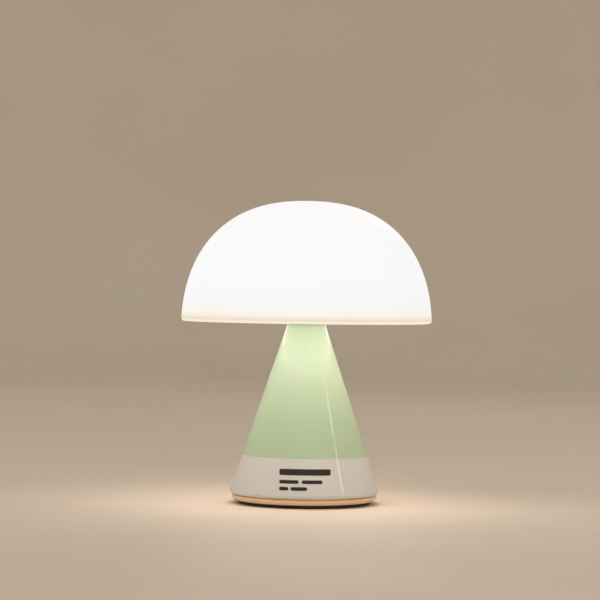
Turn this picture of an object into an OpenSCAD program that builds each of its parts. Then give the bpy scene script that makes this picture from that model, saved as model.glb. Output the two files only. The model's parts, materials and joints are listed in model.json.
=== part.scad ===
// Portable mushroom-shaped table lamp: an opal shade that is pressed down to switch it,
// on a painted aluminium cone that holds the battery, the circuit boards and a ballast plate.
// Millimetres, +Z up, origin on the table at the lamp's axis. The charging port faces +Y.

/* [Overall] */
// Height from the table to the top of the shade
lamp_h = 166; // [164:0.5:170]
// Width of the dome's curve at its widest
shade_d = 138; // [134:1:142]
// Height of the shade's rim above the table
rim_z = 99.5; // [99:0.1:100]

/* [Shade] */
// Wall of the opal dome
dome_wall = 2.2; // [1.8:0.1:2.6]
// Squareness of the dome's curve, where 2 is a plain ellipse
dome_power = 2.37; // [2.1:0.01:2.6]
// How far the curve's widest level lies below the rim
dome_waist_drop = 7.7; // [6:0.1:9]
// Rounding of the dome's outer rim edge
rim_round = 1.6; // [1:0.1:1.8]
// Thickness of the opal floor that closes the shade
floor_t = 2; // [1.6:0.1:2]
// How far the shade goes down when it is pressed
press_travel = 1.2; // [0.8:0.1:1.3]

/* [Cone] */
// Width of the cone's foot, before its edge is rolled in
cone_d = 82.9; // [82.4:0.1:83.2]
// Height of the cone for each millimetre that its radius shrinks
cone_rise = 3; // [2.98:0.01:3.02]
// Wall of the cone
cone_wall = 1.2; // [1.1:0.1:1.3]
// Outer radius of the rolled edge at the cone's foot
cone_roll = 1.6; // [1.4:0.1:1.8]

/* [Base] */
// Width of the base cover's rounded edge
base_d = 79.4; // [79:0.1:80]
// Height of the base cover's underside above the table
base_lift = 1.8; // [1.6:0.1:2]
// Thickness of the steel ballast plate
ballast_t = 3; // [2:0.5:3]

/* [Battery] */
// Width of the battery cell
cell_d = 18.4; // [18:0.1:18.5]
// Length of the battery cell
cell_h = 65.2; // [60:0.1:66]

/* [Lighting] */
// White light-emitting diodes in the outer ring
white_leds = 12; // [6:1:16]
// Width of the diode board
led_board_d = 52; // [46:1:56]

/* [Hidden] */
$fn = 96;
eps = 0.01; // overshoot of a cut
glue_gap = 0.05; // line of glue or paint between two fixed faces
arc_steps = 8; // segments in a quarter circle of a drawn outline

// Heights of the stack, from the table up
floor_top_z = base_lift + 2; // inside face of the base cover's floor
seam_z = 5.2; // underside of the cone's rolled edge
ballast_top_z = floor_top_z + ballast_t;
board_z = 9.8;
board_t = 1.6;
board_top_z = board_z + board_t;
port_z = board_top_z + 1.6;
cell_z = ballast_top_z + 1.1;
tower_top_z = 78;
small_board_t = 1.2;
switch_board_top_z = tower_top_z + small_board_t;
collar_z = 84.4;
collar_t = 2.7;
bushing_z = 88;
cone_top_z = rim_z + 1.5;
hub_plate_z = cone_top_z + press_travel + 1.3;
hub_plate_t = 2;
spreader_z = hub_plate_z + hub_plate_t;
spreader_t = 1.5;
led_board_z = spreader_z + spreader_t;
led_board_top_z = led_board_z + small_board_t;
floor_set_in = 0.3; // how far the opal floor stands back from the dome's rim

// Radii
shaft_r = 4.9; // the hub's hollow shaft
shaft_bore_r = 3.2;
bushing_bore_r = 4.98; // a running fit round the shaft
collar_r = 10.5;
hub_r = 12.6;
hub_in_r = 10.6;
tube_r = 11.5; // the tower's battery tube
tube_in_r = cell_d / 2 + 0.25;
board_r = 29.5;
ballast_r = 29.3;
lip_in_r = 37.2; // inner edge of the cone's rolled lip
tower_screw_r = 14.5; // circles that the screws stand on
board_screw_r = 25;
base_screw_r = 33.6;
led_screw_r = 9;
switch_r = 8.7; // the switch's distance from the axis
pad_in_r = 30;
pad_out_r = 36;
tab_l = 12; // from the axis to the end of a battery tab
white_ring_r = 20;
colour_ring_r = 9.5;

// The charging port
port_w = 14.9;
port_h = 9.5;
recess_w = 12.9; // room for the plug's moulded grip
recess_h = 7.1;
socket_w = 8.94;
socket_h = 3.16;
socket_l = 7.35;
socket_wall = 0.3;
mouth_y = 37.4; // plane of the socket's mouth
recess_y = 37.2;
pipe_x = 10.5; // the charge light beside the port
pipe_r = 0.9;

// Angles of the screws
base_screw_angles = [30, 150, 270];
board_screw_angles = [90, 210, 330];
tower_screw_angles = [0, 120, 240];
led_screw_angles = [30, 150, 270];
switch_screw_angles = [60, 240];

// Outer and inner radius of the cone at a height
function cone_r(z) = cone_d / 2 - (z - seam_z) / cone_rise;
cone_wall_flat = cone_wall * sqrt(1 + 1 / pow(cone_rise, 2));
function cone_in_r(z) = cone_r(z) - cone_wall_flat;

// Points of an arc about [x, z], from angle a to angle b
function arc(x, z, r, a, b) =
    let (n = max(2, ceil(arc_steps * abs(b - a) / 90)))
    [for (i = [0:n]) let (t = a + (b - a) * i / n) [x + r * cos(t), z + r * sin(t)]];

// A slot outline with round ends, width by height
function slot_outline(w, h) = concat(
    arc((w - h) / 2, 0, h / 2, -90, 90),
    arc(-(w - h) / 2, 0, h / 2, 90, 270)
);

// The dome's curve: a superellipse about the waist, set in by a wall
waist_z = rim_z - dome_waist_drop;
dome_top = lamp_h - waist_z;
dome_steps = 36;
function dome_point(t, inset) = [
    (shade_d / 2 - inset) * pow(cos(t), 2 / dome_power),
    waist_z + (dome_top - inset) * pow(sin(t), 2 / dome_power)
];
function dome_angle(z, inset) = asin(pow((z - waist_z) / (dome_top - inset), dome_power / 2));
function dome_curve(z, inset) =
    let (a = dome_angle(z, inset))
    [for (i = [0:dome_steps - 1]) dome_point(a + (90 - a) * i / dome_steps, inset)];

// Sweeps a round wire of radius r along a path; side is a direction that the path never takes
function unit(v) = v / norm(v);
function heading(path, i) = unit(path[min(i + 1, len(path) - 1)] - path[max(i - 1, 0)]);
module swept(path, r, side, sides = 8) {
    rings = len(path);
    skin = [
        for (i = [0:rings - 1])
            let (t = heading(path, i), u = unit(cross(t, side)), v = cross(t, u))
            for (j = [0:sides - 1])
                let (a = 360 * j / sides)
                path[i] + r * (cos(a) * u + sin(a) * v)
    ];
    walls = [
        for (i = [0:rings - 2])
            for (j = [0:sides - 1])
                let (a = i * sides + j, b = i * sides + (j + 1) % sides)
                [a, b, b + sides, a + sides]
    ];
    start = [for (j = [0:sides - 1]) sides - 1 - j];
    end = [for (j = [0:sides - 1]) (rings - 1) * sides + j];
    polyhedron(skin, concat(walls, [start], [end]));
}

// Cuts the corners of a route twice, so that a wire bends smoothly
function cut_corners(p) = concat(
    [p[0]],
    [
        for (i = [0:len(p) - 2])
            for (s = [0.25, 0.75])
                p[i] * (1 - s) + p[i + 1] * s
    ],
    [p[len(p) - 1]]
);
function smooth(p) = cut_corners(cut_corners(p));

module around(radius, angles) {
    for (a = angles) rotate(a) translate([radius, 0, 0]) children();
}

module tube(r_out, r_in, z, h) {
    translate([0, 0, z]) difference() {
        cylinder(r = r_out, h = h);
        translate([0, 0, -eps]) cylinder(r = r_in, h = h + 2 * eps);
    }
}

// A slot-shaped bar along +Y at the port's height
module port_bar(w, h, from_y, to_y) {
    translate([0, to_y, port_z]) rotate([90, 0, 0])
        linear_extrude(to_y - from_y) polygon(slot_outline(w, h));
}

// A screw standing on its tip, with a domed head and a cross recess, its head's underside at z = 0
module screw(shank_r, shank_l, head_r, head_h) {
    difference() {
        union() {
            translate([0, 0, -shank_l]) cylinder(r = shank_r, h = shank_l + eps, $fn = 24);
            rotate_extrude($fn = 32) polygon([
                [0, 0], [head_r, 0], [head_r, head_h * 0.5], [head_r * 0.8, head_h * 0.85],
                [head_r * 0.4, head_h], [0, head_h]
            ]);
        }
        for (a = [0, 90]) rotate(a)
            translate([0, 0, head_h]) cube([head_r * 1.1, head_r * 0.25, head_h], center = true);
    }
}

// ---- Shade ----

module shade_dome() {
    ledge_z = rim_z + floor_set_in + floor_t + glue_gap; // top of the floor's rebate
    seat_r = shade_d / 2 - dome_wall - 0.05;
    lower = rim_z + rim_round;
    rim_r = dome_point(dome_angle(lower, 0), 0)[0];
    color("#fbf6ea") rotate_extrude($fn = 180) polygon(concat(
        arc(rim_r - rim_round, lower, rim_round, -90, 0),
        dome_curve(lower + 0.1, 0),
        [[0, lamp_h], [0, lamp_h - dome_wall]],
        [for (i = [dome_steps - 1:-1:0]) dome_curve(ledge_z + 2.3, dome_wall)[i]],
        [
            [seat_r - 1.5, ledge_z + 1.2], [seat_r - 1.5, ledge_z],
            [seat_r, ledge_z], [seat_r, rim_z]
        ]
    ));
}

module shade_floor() {
    color("#f7f1e2")
        tube(shade_d / 2 - dome_wall - 0.15, hub_r + glue_gap, rim_z + floor_set_in, floor_t);
}

module shade_hub() {
    flange_z = rim_z + floor_set_in + floor_t + glue_gap;
    flange_r = hub_r + 3.4;
    color("#f2f0ea") difference() {
        rotate_extrude() polygon([
            [shaft_bore_r, collar_z - 1.8], [shaft_r, collar_z - 1.8], [shaft_r, hub_plate_z],
            [hub_in_r, hub_plate_z], [hub_in_r, rim_z], [hub_r, rim_z], [hub_r, flange_z],
            [flange_r, flange_z], [flange_r, hub_plate_z], [hub_r, spreader_z],
            [shaft_bore_r, spreader_z]
        ]);
        around(led_screw_r, led_screw_angles)
            translate([0, 0, hub_plate_z - eps]) cylinder(r = 1.1, h = hub_plate_t + 2 * eps, $fn = 24);
    }
}

module heat_spreader() {
    color("#c9ccd0") difference() {
        tube(led_board_d / 2 + 1, shaft_bore_r, spreader_z, spreader_t);
        around(led_screw_r, led_screw_angles)
            translate([0, 0, spreader_z - eps]) cylinder(r = 1.3, h = spreader_t + 2 * eps, $fn = 24);
    }
}

module led_board() {
    color("#f4f4f0") difference() {
        tube(led_board_d / 2, shaft_bore_r, led_board_z, small_board_t);
        around(led_screw_r, led_screw_angles)
            translate([0, 0, led_board_z - eps])
                cylinder(r = 1.3, h = small_board_t + 2 * eps, $fn = 24);
    }
}

module led_white_chips() {
    color("#f6e08a") around(white_ring_r, [for (i = [0:white_leds - 1]) 360 * i / white_leds])
        translate([-1.75, -1.4, led_board_top_z]) cube([3.5, 2.8, 0.8]);
}

module led_colour_chips() {
    color("#ecebe6") around(colour_ring_r, [90, 210, 330])
        translate([-2.5, -2.5, led_board_top_z]) cube([5, 5, 1.5]);
}

// Plug housing that the four wires come up into, over the board's centre hole
module led_connector() {
    color("#ece6d2") translate([-4, -3.6, led_board_top_z]) difference() {
        cube([8, 7.2, 3]);
        for (y = [-eps, 6]) translate([1.5, y, 1]) cube([5, 1.2 + eps, 1]);
    }
}

module led_screws() {
    color("#b9bcc0") around(led_screw_r, led_screw_angles)
        translate([0, 0, led_board_top_z]) screw(1.1, 4, 2, 1.3);
}

// Four wires twisted into a loom through the hollow shaft, which flexes as the shade goes down
module led_wires() {
    turns = 1.25;
    wire_r = 0.6;
    loom_r = 1.7;
    steps = 24;
    straight = 1; // upright stretch at each end
    low = switch_board_top_z + straight;
    rise = led_board_top_z - straight - low;
    function loom(a, z) = [loom_r * cos(a), loom_r * sin(a), z];
    color("#b5382e") for (start = [45, 135, 225, 315]) swept(concat(
        [loom(start, switch_board_top_z)],
        [for (i = [0:steps]) loom(start + 360 * turns * i / steps, low + rise * i / steps)],
        [loom(start + 360 * turns, led_board_top_z)]
    ), wire_r, [1, 0, 0]);
}

// ---- Neck and press switch ----

module stop_collar() {
    color("#d8b25a") difference() {
        tube(collar_r, shaft_r, collar_z, collar_t);
        for (a = [0, 180]) rotate(a)
            translate([collar_r - 1.2, -1, collar_z + 1.2]) cube([2, 2, collar_t]);
    }
}

module return_spring() {
    turns = 3.5;
    wire_r = 0.35;
    coil_r = 5.5;
    gap = 0.02;
    rise = collar_z - switch_board_top_z - 2 * (wire_r + gap);
    steps = 18 * turns;
    helix = [
        for (i = [0:steps])
            let (a = 360 * turns * i / steps)
            [
                coil_r * cos(a), coil_r * sin(a),
                switch_board_top_z + wire_r + gap + rise * i / steps
            ]
    ];
    color("#9ea2a6") swept(helix, wire_r, [0, 0, 1]);
}

module bump_washer() {
    color("#5c5c5e") tube(9, shaft_r + 0.7, bushing_z - 0.8, 0.8);
}

module neck_bushing() {
    color("#e8e6df") translate([0, 0, bushing_z]) difference() {
        cylinder(
            r1 = cone_in_r(bushing_z) - glue_gap, r2 = cone_in_r(cone_top_z) - glue_gap,
            h = cone_top_z - bushing_z
        );
        translate([0, 0, -eps]) cylinder(r = bushing_bore_r, h = cone_top_z - bushing_z + 2 * eps);
    }
}

module switch_board() {
    color("#2f7d4a") difference() {
        translate([0, 0, tower_top_z]) cylinder(r = 14, h = small_board_t);
        around(tube_r, switch_screw_angles)
            translate([0, 0, tower_top_z - eps])
                cylinder(r = 1, h = small_board_t + 2 * eps, $fn = 24);
    }
}

module switch_body() {
    color("#2b2b2d") translate([0, switch_r, switch_board_top_z]) difference() {
        translate([-2.5, -2.5, 0]) cube([5, 5, 3]);
        translate([0, 0, 0.3]) cylinder(r = 1.25, h = 3, $fn = 32);
    }
}

module switch_plunger() {
    stem_z = switch_board_top_z + press_travel + 0.4;
    color("#d9d5c8") translate([0, switch_r, stem_z])
        cylinder(r = 1.15, h = collar_z - glue_gap - stem_z, $fn = 32);
}

module switch_board_screws() {
    color("#b9bcc0") around(tube_r, switch_screw_angles)
        translate([0, 0, switch_board_top_z]) screw(0.8, 5, 1.7, 1.1);
}

// ---- Cone ----

module cone_shell() {
    lean = atan(1 / cone_rise); // the wall's lean from upright
    roll_x = cone_d / 2 - cone_roll / tan((90 - lean) / 2);
    roll_z = seam_z + cone_roll;
    inner_roll = cone_roll - cone_wall;
    color("#b4d19c") difference() {
        rotate_extrude($fn = 180) polygon(concat(
            [[lip_in_r, seam_z]],
            arc(roll_x, roll_z, cone_roll, -90, lean),
            [[cone_r(cone_top_z), cone_top_z], [cone_in_r(cone_top_z), cone_top_z]],
            arc(roll_x, roll_z, inner_roll, lean, -90),
            [[lip_in_r, seam_z + cone_wall]]
        ));
        port_bar(port_w + 0.1, port_h + 0.1, 20, 45);
        translate([pipe_x, 20, port_z]) rotate([-90, 0, 0])
            cylinder(r = pipe_r + glue_gap, h = 25, $fn = 32);
    }
}

// Glued into the cone's foot, open round the charging port; the base screws bite into it
module clamp_ring() {
    low = seam_z + cone_wall + glue_gap;
    high = low + 6;
    in_r = board_r + 1.1;
    port_gap = 60; // degrees
    color("#dcdad2") difference() {
        rotate(90 + port_gap / 2) rotate_extrude(angle = 360 - port_gap) polygon([
            [in_r, low], [cone_in_r(low) - 0.35, low], [cone_in_r(high) - 0.1, high], [in_r, high]
        ]);
        around(base_screw_r, base_screw_angles)
            translate([0, 0, low - eps]) cylinder(r = 1.3, h = 5, $fn = 32);
    }
}

// ---- Battery tower ----

module battery_tower() {
    window = 5; // opening that a battery lead leaves through
    color("#e3e1da") difference() {
        union() {
            translate([0, 0, ballast_top_z]) cylinder(r = tube_r, h = tower_top_z - ballast_top_z);
            translate([0, 0, ballast_top_z]) cylinder(r = 18, h = 2);
            translate([0, 0, tower_top_z - 2]) cylinder(r = 14, h = 2);
            around(tube_r, switch_screw_angles)
                translate([0, 0, tower_top_z - 8]) cylinder(r = 2, h = 7, $fn = 32);
            for (a = [30, 150, 210, 330]) rotate(a)
                translate([tube_r - 0.5, -0.75, ballast_top_z]) cube([4, 1.5, 16]);
        }
        translate([0, 0, cell_z - 0.3]) cylinder(r = tube_in_r, h = tower_top_z - 2 - cell_z + 0.3);
        around(tower_screw_r, tower_screw_angles)
            translate([0, 0, ballast_top_z - eps]) cylinder(r = 1.4, h = 3, $fn = 24);
        around(tube_r, switch_screw_angles)
            translate([0, 0, tower_top_z - 7]) cylinder(r = 0.8, h = 8, $fn = 24);
        // Windows for the red lead at the top and the black lead at the foot
        translate([-window / 2, 5, cell_z + cell_h - 1]) cube([window, 10, 3.5]);
        translate([-window / 2, -15, cell_z - 0.3]) cube([window, 10, 3.5]);
        // Notch for the harness
        translate([tube_r + 0.3, -3.4, tower_top_z - 2 - eps]) cube([4, 6.8, 2 + 2 * eps]);
    }
}

module battery_foam() {
    low = cell_z + cell_h + 0.3;
    color("#4a4a4c") translate([0, 0, low])
        cylinder(r = tube_in_r - 0.3, h = tower_top_z - 2 - low - glue_gap);
}

module battery_cell() {
    r = cell_d / 2;
    color("#3f74b8") translate([0, 0, cell_z]) rotate_extrude() polygon([
        [0, 0], [r - 0.6, 0], [r, 0.6], [r, cell_h - 2], [r - 0.6, cell_h - 1.2],
        [3.4, cell_h - 1.2], [3, cell_h], [0, cell_h]
    ]);
}

module battery_plus_tab() {
    color("#c7c9c4") translate([0, 0, cell_z + cell_h]) union() {
        cylinder(r = 4, h = 0.2);
        translate([-2, 0, 0]) cube([4, tab_l, 0.2]);
    }
}

module battery_minus_tab() {
    color("#c7c9c4") translate([0, 0, cell_z - 0.2]) union() {
        cylinder(r = 6, h = 0.2);
        translate([-2, -tab_l, 0]) cube([4, tab_l, 0.2]);
    }
}

// Each lead is soldered on its tab's end and runs down to the battery socket
lead_r = 0.65;
lead_lift = lead_r + glue_gap;
red_start = [-0.5, 10, cell_z + cell_h + 0.2 + lead_lift];
black_start = [0.5, -10, cell_z + lead_lift];
red_route = [
    [-0.5, 12, 74.2], [-0.5, 14, 73], [-1, 14, 60], [-2, 15, 30], [-6, 17, 22], [-12, 17.5, 20],
    [-18.2, 15.6, 19], [-18.2, 15.6, 13.5]
];
black_route = [
    [0.5, -12.5, 9.4], [0, -14.5, 11], [-3, -17, 13.6], [-14, -18, 15], [-21, -8, 15],
    [-22, 6, 17], [-19.8, 17.4, 20], [-19.8, 17.4, 13.5]
];

module battery_lead_red() {
    color("#c03028") swept(smooth(concat([red_start], red_route)), lead_r, [1, 0.3, 0]);
}

module battery_lead_black() {
    color("#232325") swept(smooth(concat([black_start], black_route)), lead_r, [1, -1, 1]);
}

module tower_screws() {
    color("#b9bcc0") around(tower_screw_r, tower_screw_angles)
        translate([0, 0, ballast_top_z + 2]) screw(1.2, 5, 2.1, 1.4);
}

// Six wires from the switch board down the outside of the tower to the main board
module main_harness() {
    wire_r = 0.5;
    color("#d9d4c6") for (i = [-2.5:1:2.5]) swept(smooth([
        [13.2, i * 1.05, tower_top_z - glue_gap], [13.2, i * 1.05, 70], [13.2, i * 1.05, 34],
        [14, i * 1.05, 24], [20, i * 1.05, 20], [23, i * 1.05, 19], [23, i * 1.05, 16.4]
    ]), wire_r, [0, 1, 0]);
}

// ---- Main board ----

module main_board() {
    color("#2f7d4a") difference() {
        union() {
            tube(board_r, 18.5, board_z, board_t);
            translate([-13, 20, board_z]) cube([26, 14, board_t]);
        }
        around(board_screw_r, board_screw_angles)
            translate([0, 0, board_z - eps]) cylinder(r = 1.3, h = board_t + 2 * eps, $fn = 24);
    }
}

module board_chips() {
    // Each chip: angle, distance from the axis, length, width, height
    chips = [
        [50, 24, 5, 5, 1], [120, 24.5, 4, 5, 1.2], [180, 26, 2, 1.2, 0.8], [190, 26, 2, 1.2, 0.8],
        [235, 23.5, 6, 4, 1.5], [255, 24, 3, 2, 1], [285, 24, 5, 5, 0.9], [300, 25, 2, 1.2, 0.8],
        [308, 25, 2, 1.2, 0.8], [345, 26, 3, 1.5, 1.1], [68, 24, 2, 1.2, 0.8], [35, 24, 2, 1.2, 0.8]
    ];
    color("#29292b") for (c = chips) rotate(c[0])
        translate([c[1] - c[3] / 2, -c[2] / 2, board_top_z]) cube([c[3], c[2], c[4]]);
}

module board_inductor() {
    color("#4b4a4d") rotate(270) translate([24, 0, board_top_z]) union() {
        translate([-3, -3, 0]) cube([6, 6, 2.4]);
        translate([0, 0, 2.4]) cylinder(r = 2.2, h = 0.4, $fn = 32);
    }
}

module wire_socket(l) {
    translate([-2.3, -l / 2, 0]) difference() {
        cube([4.6, l, 5]);
        translate([0.8, 0.8, 1.2]) cube([3, l - 1.6, 5]);
    }
}

module harness_socket() {
    color("#ece6d2") translate([23, 0, board_top_z]) wire_socket(9);
}

module battery_socket() {
    color("#ece6d2") translate([-19, 16.5, board_top_z]) rotate(45) wire_socket(6.5);
}

module usb_socket() {
    color("#b4b7bb") difference() {
        port_bar(socket_w, socket_h, mouth_y - socket_l, mouth_y);
        port_bar(
            socket_w - 2 * socket_wall, socket_h - 2 * socket_wall,
            mouth_y - socket_l + 1, mouth_y + 1
        );
    }
}

module usb_tongue() {
    color("#303033") translate([-3.35, mouth_y - socket_l + 1, port_z - 0.35])
        cube([6.7, socket_l - 2, 0.7]);
}

module charge_diode() {
    color("#f2efe4") translate([pipe_x - 1, 31, board_top_z]) cube([2, 1, 2.4]);
}

module charge_light_pipe() {
    color("#dfeee6") intersection() {
        translate([pipe_x, 32.1, port_z]) rotate([-90, 0, 0])
            cylinder(r = pipe_r, h = 12, $fn = 32);
        translate([0, 0, seam_z])
            cylinder(r1 = cone_d / 2, r2 = cone_r(30), h = 30 - seam_z, $fn = 180);
    }
}

module port_bezel() {
    color("#e6e1d3") difference() {
        intersection() {
            port_bar(port_w, port_h, 35.6, 45);
            translate([0, 0, seam_z])
                cylinder(r1 = cone_d / 2, r2 = cone_r(30), h = 30 - seam_z, $fn = 180);
        }
        port_bar(recess_w, recess_h, recess_y, 46);
        port_bar(socket_w + 0.2, socket_h + 0.2, 30, 46);
    }
}

module board_screws() {
    color("#b9bcc0") around(board_screw_r, board_screw_angles)
        translate([0, 0, board_top_z]) screw(1.1, 5, 2, 1.3);
}

// ---- Base ----

module ballast_plate() {
    color("#8f9296") difference() {
        translate([0, 0, floor_top_z]) cylinder(r = ballast_r, h = ballast_t);
        around(tower_screw_r, tower_screw_angles)
            translate([0, 0, floor_top_z - 1]) cylinder(r = 3.2, h = ballast_t + 2, $fn = 48);
        around(board_screw_r, board_screw_angles)
            translate([0, 0, floor_top_z - 1]) cylinder(r = 3.2, h = ballast_t + 2, $fn = 48);
    }
}

module base_cover() {
    r = base_d / 2;
    low_round = 2.2;
    top_round = 0.7;
    edge_z = seam_z - 0.3; // a shadow line is left under the cone
    spigot_z = seam_z + cone_wall - 0.1; // just below the clamp ring
    color("#e9e4d6") difference() {
        union() {
            rotate_extrude($fn = 180) polygon(concat(
                [[0, base_lift]],
                arc(r - low_round, base_lift + low_round, low_round, -90, 0),
                arc(r - top_round, edge_z - top_round, top_round, 0, 90),
                [
                    [38.3, edge_z], [38.3, seam_z], [37, seam_z], [37, spigot_z],
                    [35.2, spigot_z], [35.2, floor_top_z], [0, floor_top_z]
                ]
            ));
            around(base_screw_r, base_screw_angles)
                translate([0, 0, floor_top_z - eps])
                    cylinder(r = 3.2, h = spigot_z - floor_top_z + eps, $fn = 48);
            around(board_screw_r, board_screw_angles)
                translate([0, 0, floor_top_z - eps])
                    cylinder(r = 3, h = board_z - floor_top_z + eps, $fn = 48);
            around(tower_screw_r, tower_screw_angles)
                translate([0, 0, floor_top_z - eps]) cylinder(r = 3, h = ballast_t + eps, $fn = 48);
        }
        tube(pad_out_r + 0.1, pad_in_r - 0.1, base_lift - 1, 1.4);
        around(base_screw_r, base_screw_angles) union() {
            translate([0, 0, base_lift]) cylinder(r = 2.8, h = 2.4, $fn = 48);
            translate([0, 0, base_lift]) cylinder(r = 1.6, h = 10, $fn = 32);
        }
        around(board_screw_r, board_screw_angles)
            translate([0, 0, floor_top_z]) cylinder(r = 1.1, h = 10, $fn = 24);
        around(tower_screw_r, tower_screw_angles)
            translate([0, 0, floor_top_z - 1.2]) cylinder(r = 1.2, h = 10, $fn = 24);
    }
}

module base_screws() {
    color("#b9bcc0") around(base_screw_r, base_screw_angles)
        translate([0, 0, base_lift + 2.4]) mirror([0, 0, 1]) screw(1.3, 6.5, 2.5, 1.5);
}

module foot_pad() {
    color("#8b8d8c") rotate_extrude($fn = 180) polygon([
        [pad_in_r + 0.4, 0], [pad_out_r - 0.4, 0], [pad_out_r, 0.4], [pad_out_r, base_lift + 0.35],
        [pad_in_r, base_lift + 0.35], [pad_in_r, 0.4]
    ]);
}

shade_dome();
shade_floor();
shade_hub();
heat_spreader();
led_board();
led_white_chips();
led_colour_chips();
led_connector();
led_screws();
led_wires();
stop_collar();
return_spring();
bump_washer();
neck_bushing();
cone_shell();
clamp_ring();
switch_board();
switch_body();
switch_plunger();
switch_board_screws();
battery_tower();
battery_foam();
battery_plus_tab();
battery_cell();
battery_minus_tab();
battery_lead_red();
battery_lead_black();
tower_screws();
main_harness();
main_board();
board_chips();
board_inductor();
harness_socket();
battery_socket();
usb_socket();
usb_tongue();
charge_diode();
charge_light_pipe();
port_bezel();
board_screws();
ballast_plate();
base_cover();
base_screws();
foot_pad();
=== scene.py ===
"""The looks of a portable mushroom lamp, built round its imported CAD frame.

Shapes are worked out in millimetres, and make_piece turns them into metres. The lights and the camera are
placed in metres.
"""

import json
import math

import bmesh
import bpy
from mathutils import Matrix, Vector


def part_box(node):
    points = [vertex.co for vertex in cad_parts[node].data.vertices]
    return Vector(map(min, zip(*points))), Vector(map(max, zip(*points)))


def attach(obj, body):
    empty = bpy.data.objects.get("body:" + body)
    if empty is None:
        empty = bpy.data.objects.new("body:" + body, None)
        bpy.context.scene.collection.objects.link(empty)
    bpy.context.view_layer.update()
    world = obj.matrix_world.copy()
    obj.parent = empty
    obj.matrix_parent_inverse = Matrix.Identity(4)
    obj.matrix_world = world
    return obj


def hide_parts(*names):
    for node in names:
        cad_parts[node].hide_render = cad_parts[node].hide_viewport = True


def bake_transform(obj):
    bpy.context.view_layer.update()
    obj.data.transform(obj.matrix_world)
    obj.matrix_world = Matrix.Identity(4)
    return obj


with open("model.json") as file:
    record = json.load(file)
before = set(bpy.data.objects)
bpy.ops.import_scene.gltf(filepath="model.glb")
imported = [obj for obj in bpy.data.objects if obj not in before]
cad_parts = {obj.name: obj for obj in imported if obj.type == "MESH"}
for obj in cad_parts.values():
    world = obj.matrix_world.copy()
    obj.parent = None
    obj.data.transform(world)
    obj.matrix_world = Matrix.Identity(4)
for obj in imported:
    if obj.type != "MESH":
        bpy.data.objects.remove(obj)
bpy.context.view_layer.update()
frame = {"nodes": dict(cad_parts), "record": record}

MM = 0.001
FULL_TURN = 2 * math.pi

# ---- Sizes that the outer shapes share with the CAD design, in millimetres ----

RIM_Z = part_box("shade_dome")[0].z / MM
TOP_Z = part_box("shade_dome")[1].z / MM
DOME_R = 69.0  # radius at the widest level of the dome's curve
DOME_POWER = 2.37
WAIST_Z = RIM_Z - 7.7
RIM_ROUND = 1.6
DOME_WALL = 2.2
FLOOR_LOW_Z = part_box("shade_floor")[0].z / MM
FLOOR_TOP_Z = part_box("shade_floor")[1].z / MM
FLOOR_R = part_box("shade_floor")[1].x / MM
HUB_R = 12.6
LED_PLANE_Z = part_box("led_board")[1].z / MM

SEAM_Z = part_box("cone_shell")[0].z / MM
CONE_TOP_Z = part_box("cone_shell")[1].z / MM
CONE_FOOT_R = 41.45
CONE_RISE = 3.0
CONE_WALL = 1.2
CONE_ROLL = 1.6
LIP_IN_R = 37.2  # inner edge of the cone's rolled lip
PAINT_Z = 26.55  # border between the green and the off-white lacquer

PORT_Z = (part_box("port_bezel")[0].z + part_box("port_bezel")[1].z) / 2 / MM
PORT_SIZE = (14.9, 9.5)
RECESS_SIZE = (12.9, 7.1)
RECESS_Y = 37.2
SOCKET_SIZE = (8.94, 3.16)
SOCKET_WALL = 0.3
SOCKET_BACK_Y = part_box("usb_socket")[0].y / MM
MOUTH_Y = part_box("usb_socket")[1].y / MM
PIPE_X = 10.5
PIPE_R = 0.9


def cone_r(z):
    return CONE_FOOT_R - (z - SEAM_Z) / CONE_RISE


def cone_in_r(z):
    return cone_r(z) - CONE_WALL * math.hypot(1, 1 / CONE_RISE)


# ---- Mesh tools ----


def arc(x, z, r, start, end, steps):
    """Points of an arc about (x, z), with its angles in degrees."""
    angles = [math.radians(start + (end - start) * i / steps) for i in range(steps + 1)]
    return [(x + r * math.cos(a), z + r * math.sin(a)) for a in angles]


def make_piece(name, bm, finishes, body, smooth_angle=35):
    """Turns a bmesh in millimetres into a piece in metres.

    It rides on a body, if one is named. finishes is one material, or a list of them.
    """
    bmesh.ops.remove_doubles(bm, verts=bm.verts, dist=1e-4)
    bmesh.ops.recalc_face_normals(bm, faces=bm.faces)
    bmesh.ops.scale(bm, verts=bm.verts, vec=(MM, MM, MM))
    mesh = bpy.data.meshes.new(name)
    bm.to_mesh(mesh)
    bm.free()
    piece = bpy.data.objects.new(name, mesh)
    bpy.context.scene.collection.objects.link(piece)
    for finish in finishes if isinstance(finishes, list) else [finishes]:
        mesh.materials.append(finish)
    mesh.shade_smooth()
    mesh.set_sharp_from_angle(angle=math.radians(smooth_angle))
    if body:
        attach(piece, body)
    return piece


def loft(bm, loops, closed=False):
    """Joins rings of points, all with the same count, into a skin.

    A closed loft also joins the last ring to the first.
    """
    rings = [[bm.verts.new(p) for p in loop] for loop in loops]
    pairs = zip(rings, rings[1:] + rings[:1]) if closed else zip(rings, rings[1:])
    for low, high in pairs:
        for i in range(len(low)):
            j = (i + 1) % len(low)
            bm.faces.new((low[i], low[j], high[j], high[i]))
    return rings


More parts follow.
